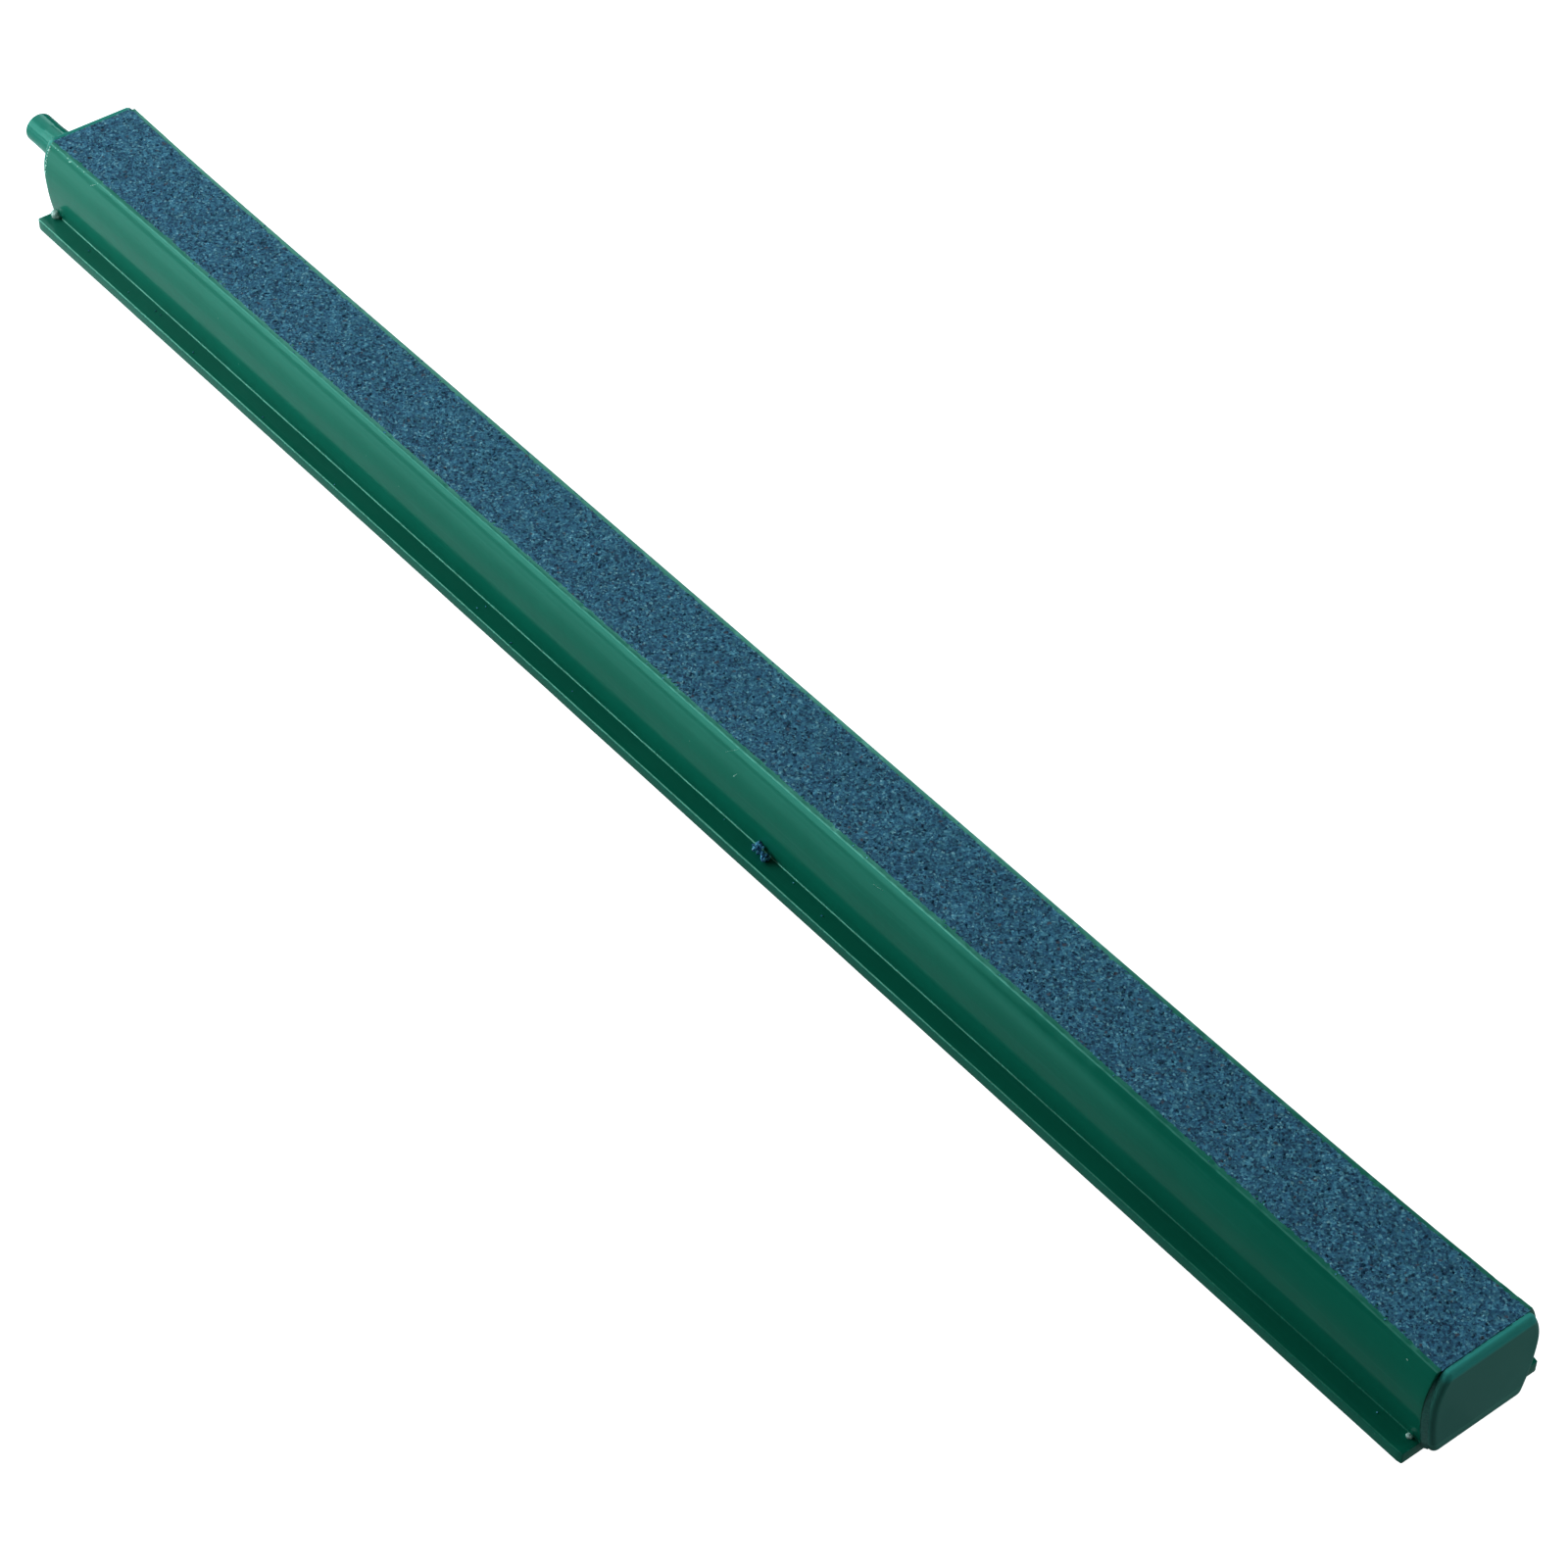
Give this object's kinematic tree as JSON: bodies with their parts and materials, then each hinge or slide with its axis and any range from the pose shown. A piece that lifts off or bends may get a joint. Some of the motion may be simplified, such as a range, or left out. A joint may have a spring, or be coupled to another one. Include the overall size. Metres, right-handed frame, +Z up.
{
  "type": "air stone",
  "caption": "Long bar air stone: a flanged plastic trough filled with porous bonded grit, with a hose nipple on one end cap and a blank cap on the other.",
  "frame": {"origin": "middle of the trough's underside, on the surface that the bar stands on", "axes": "+X along the bar towards the blank end, with the hose nipple at the -X end; +Y across the bar; +Z up, towards the stone's open top"},
  "size_m": [0.3189, 0.0228, 0.0145],
  "materials": {
    "trough_plastic": "glossy green extruded plastic",
    "cap_plastic": "semi-gloss green moulded plastic",
    "stone_grit": "rough blue bonded grit, open pores",
    "cement": "cured clear cement"
  },
  "bodies": {
    "root": {"trough": "trough_plastic", "stone_bar": "stone_grit", "inlet_end_cap": "cap_plastic", "blank_end_cap": "cap_plastic", "inlet_cap_cement": "cement", "blank_cap_cement": "cement", "inlet_cement_drop": "cement", "blank_cement_drop": "cement"}
  },
  "joints": []
}
